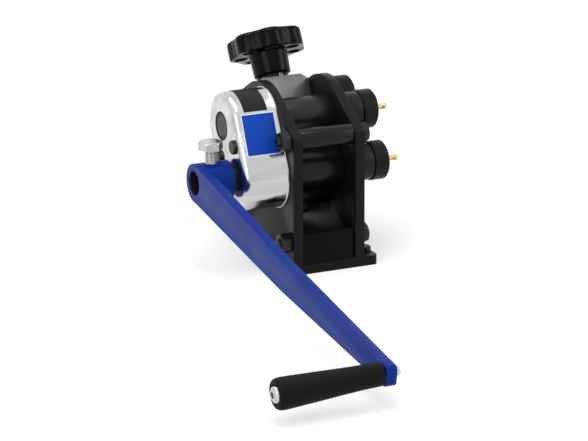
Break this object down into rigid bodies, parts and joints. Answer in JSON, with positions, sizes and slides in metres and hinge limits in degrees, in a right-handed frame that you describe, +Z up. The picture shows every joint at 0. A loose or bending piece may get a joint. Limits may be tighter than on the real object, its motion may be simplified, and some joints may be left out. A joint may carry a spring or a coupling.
{
  "type": "hand-cranked profile bending machine",
  "caption": "Bench bending machine: two side plates on a base, geared rollers turned by a long hand crank, and a rear roller moved by a lobed knob and screw.",
  "frame": {"origin": "middle between the side plates and midway between the base plate's front and rear edges, on its underside", "axes": "+X to the rollers' side, +Y to the rear, away from the crank handle at rest, +Z up"},
  "size_m": [0.3306, 0.5718, 0.2261],
  "materials": {
    "black_paint": "satin black powder coat",
    "black_steel": "black oxide steel",
    "dark_steel": "dark blued steel",
    "machined_steel": "turned and ground steel",
    "cover_chrome": "polished sheet",
    "zinc": "zinc plated",
    "brass": "satin brass",
    "bronze": "bearing bronze",
    "blue_paint": "glossy blue powder coat",
    "grip_rubber": "matte moulded grip",
    "knob_plastic": "glossy moulded plastic"
  },
  "bodies": {
    "frame": {"base_plate": "black_paint", "base_screws": "dark_steel", "levelling_screws": "black_steel", "left_plate": "black_paint", "right_plate": "black_paint", "front_web": "black_paint", "tie_bolts": "black_steel", "tie_nuts": "black_steel", "tie_spacers": "black_steel", "lower_housing": "black_steel", "upper_housing": "black_steel", "bushes": "bronze", "gear_cover": "cover_chrome", "cover_bolts": "dark_steel", "thrust_bar": "black_steel"},
    "crank": {"crank_arm": "blue_paint", "crank_boss": "blue_paint", "set_bolt": "zinc", "lower_shaft": "machined_steel", "lower_keys": "dark_steel", "drive_gear": "dark_steel", "lower_roller": "black_steel", "lower_cap": "black_steel", "lower_nipple": "brass", "handle_spindle": "zinc", "grip_washer": "zinc", "end_screw": "zinc"},
    "grip": {"handle_grip": "grip_rubber"},
    "upper_spindle": {"upper_shaft": "machined_steel", "upper_keys": "dark_steel", "driven_gear": "dark_steel", "upper_roller": "black_steel", "upper_cap": "black_steel", "upper_nipple": "brass"},
    "adjuster": {"adjuster_screw": "machined_steel", "thrust_collar": "dark_steel", "retaining_nut": "dark_steel", "lock_collar": "dark_steel", "knob": "knob_plastic", "knob_insert": "dark_steel", "knob_plug": "knob_plastic"},
    "carriage": {"carriage": "dark_steel", "carriage_guides": "machined_steel", "rear_shaft": "machined_steel"},
    "rear_roller": {"rear_roller": "black_steel", "rear_cap": "black_steel", "rear_nipple": "brass"}
  },
  "joints": [
    {"name": "crank_turn", "type": "hinge", "parent": "frame", "child": "crank", "pos_m": [0, -0.032, 0.096], "axis": [1, 0, 0], "continuous": true},
    {"name": "grip_turn", "type": "hinge", "parent": "crank", "child": "grip", "pos_m": [-0.1275, -0.44485, 0.03061], "axis": [-0.9994, 0, -0.0349], "continuous": true},
    {"name": "upper_turn", "type": "hinge", "parent": "frame", "child": "upper_spindle", "pos_m": [0, -0.00665, 0.14368], "axis": [1, 0, 0], "continuous": true},
    {"name": "knob_turn", "type": "hinge", "parent": "frame", "child": "adjuster", "pos_m": [0, 0.00773, 0.07487], "axis": [0, 0.4695, 0.8829], "range_deg": [0, 3152]},
    {"name": "carriage_slide", "type": "slide", "parent": "frame", "child": "carriage", "axis": [0, 0.4695, 0.8829], "range_m": [-0.035, 0]},
    {"name": "rear_roller_turn", "type": "hinge", "parent": "carriage", "child": "rear_roller", "pos_m": [0, 0.04576, 0.14639], "axis": [1, 0, 0], "continuous": true}
  ],
  "couplings": [
    {"joint": "upper_turn", "follows": "crank_turn", "ratio": -1},
    {"joint": "knob_turn", "follows": "carriage_slide", "rad_per_m": -1570.8}
  ]
}
